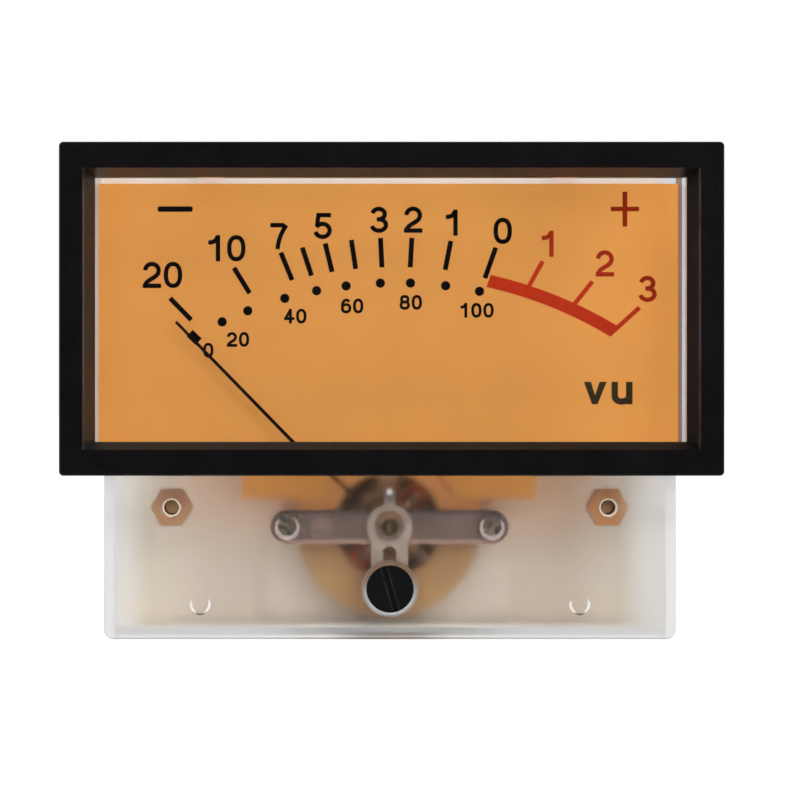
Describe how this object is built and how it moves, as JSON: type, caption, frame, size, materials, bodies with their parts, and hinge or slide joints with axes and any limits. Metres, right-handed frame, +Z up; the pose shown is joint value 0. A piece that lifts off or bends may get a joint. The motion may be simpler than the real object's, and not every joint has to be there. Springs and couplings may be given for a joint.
{
  "type": "analog vu meter",
  "caption": "Rectangular moving-coil level meter with a black bezel, an orange dial, a frosted lower body and a slotted zero adjuster.",
  "frame": {"origin": "midway between the two panel inserts, on the front face of the cover plate", "axes": "+X to the right, +Y to the back of the meter, +Z up; the dial faces -Y"},
  "size_m": [0.09, 0.0341, 0.068],
  "materials": {
    "bezel_black": "satin",
    "clear_acrylic": "gloss",
    "frosted_plastic": "satin",
    "ivory_plastic": "satin",
    "label_paper": "matte",
    "turned_brass": "satin",
    "dial_orange": "matte",
    "diffuser_white": "satin",
    "board_green": "satin",
    "led_yellow": "satin",
    "resistor_black": "satin",
    "screw_steel": "satin",
    "tinned_brass": "satin",
    "lead_red": "satin",
    "lead_black": "satin",
    "gold_passivate": "satin",
    "magnet_grey": "satin",
    "bridge_grey": "satin",
    "jewel_blue": "polished",
    "adjuster_black": "gloss",
    "spring_steel": "satin",
    "lever_white": "satin",
    "coil_copper": "satin",
    "former_aluminium": "satin",
    "pivot_steel": "polished",
    "pointer_black": "matte",
    "hairspring_bronze": "polished"
  },
  "bodies": {
    "case": {"bezel": "bezel_black", "window_pane": "clear_acrylic", "front_cover": "frosted_plastic", "rear_case": "ivory_plastic", "rear_label": "label_paper", "panel_insert_left": "turned_brass", "panel_insert_right": "turned_brass", "dial_plate": "dial_orange", "dial_screws": "screw_steel", "pointer_stop_left": "turned_brass", "pointer_stop_right": "turned_brass", "diffuser_plate": "diffuser_white", "backlight_board": "board_green", "backlight_leds": "led_yellow", "backlight_resistors": "resistor_black", "board_screws": "screw_steel", "lamp_terminals": "tinned_brass", "terminal_minus": "tinned_brass", "terminal_plus": "tinned_brass", "solder_tag_left": "tinned_brass", "solder_tag_right": "tinned_brass", "signal_lead_left": "lead_black", "signal_lead_right": "lead_red", "movement_frame": "ivory_plastic", "movement_screws": "screw_steel", "return_ring": "gold_passivate", "core_magnet": "magnet_grey", "core_spacers": "turned_brass", "front_bridge": "bridge_grey", "bridge_screws": "screw_steel", "front_jewel_screw": "turned_brass", "front_jewel": "jewel_blue", "rear_bridge": "bridge_grey", "rear_bridge_screws": "screw_steel", "rear_jewel_screw": "turned_brass", "rear_jewel": "jewel_blue", "rear_lock_nut": "turned_brass", "rear_hairspring": "hairspring_bronze", "rear_spring_anchor": "turned_brass"},
    "moving_coil": {"coil_winding": "coil_copper", "coil_former": "former_aluminium", "front_pivot": "pivot_steel", "rear_pivot": "pivot_steel", "balance_cross": "former_aluminium", "balance_weights": "turned_brass", "pointer": "pointer_black"},
    "zero_adjuster": {"zero_screw": "adjuster_black", "zero_screw_clip": "spring_steel"},
    "zero_arm": {"zero_lever": "lever_white", "front_hairspring": "hairspring_bronze"}
  },
  "joints": [
    {"name": "pointer_swing", "type": "hinge", "parent": "case", "child": "moving_coil", "pos_m": [0, 0, -0.00278], "axis": [0, 1, 0], "range_deg": [-2, 98], "stiffness_Nm_per_rad": 0.0000035, "deforming": ["front_hairspring", "rear_hairspring"]},
    {"name": "zero_turn", "type": "hinge", "parent": "case", "child": "zero_adjuster", "pos_m": [0, 0, -0.0112], "axis": [0, 1, 0], "range_deg": [-40, 40]},
    {"name": "zero_arm_swing", "type": "hinge", "parent": "case", "child": "zero_arm", "pos_m": [0, 0, -0.00278], "axis": [0, 1, 0], "range_deg": [-5.7, 5.7]}
  ],
  "couplings": [
    {"joint": "zero_arm_swing", "follows": "zero_turn", "ratio": -0.14}
  ]
}
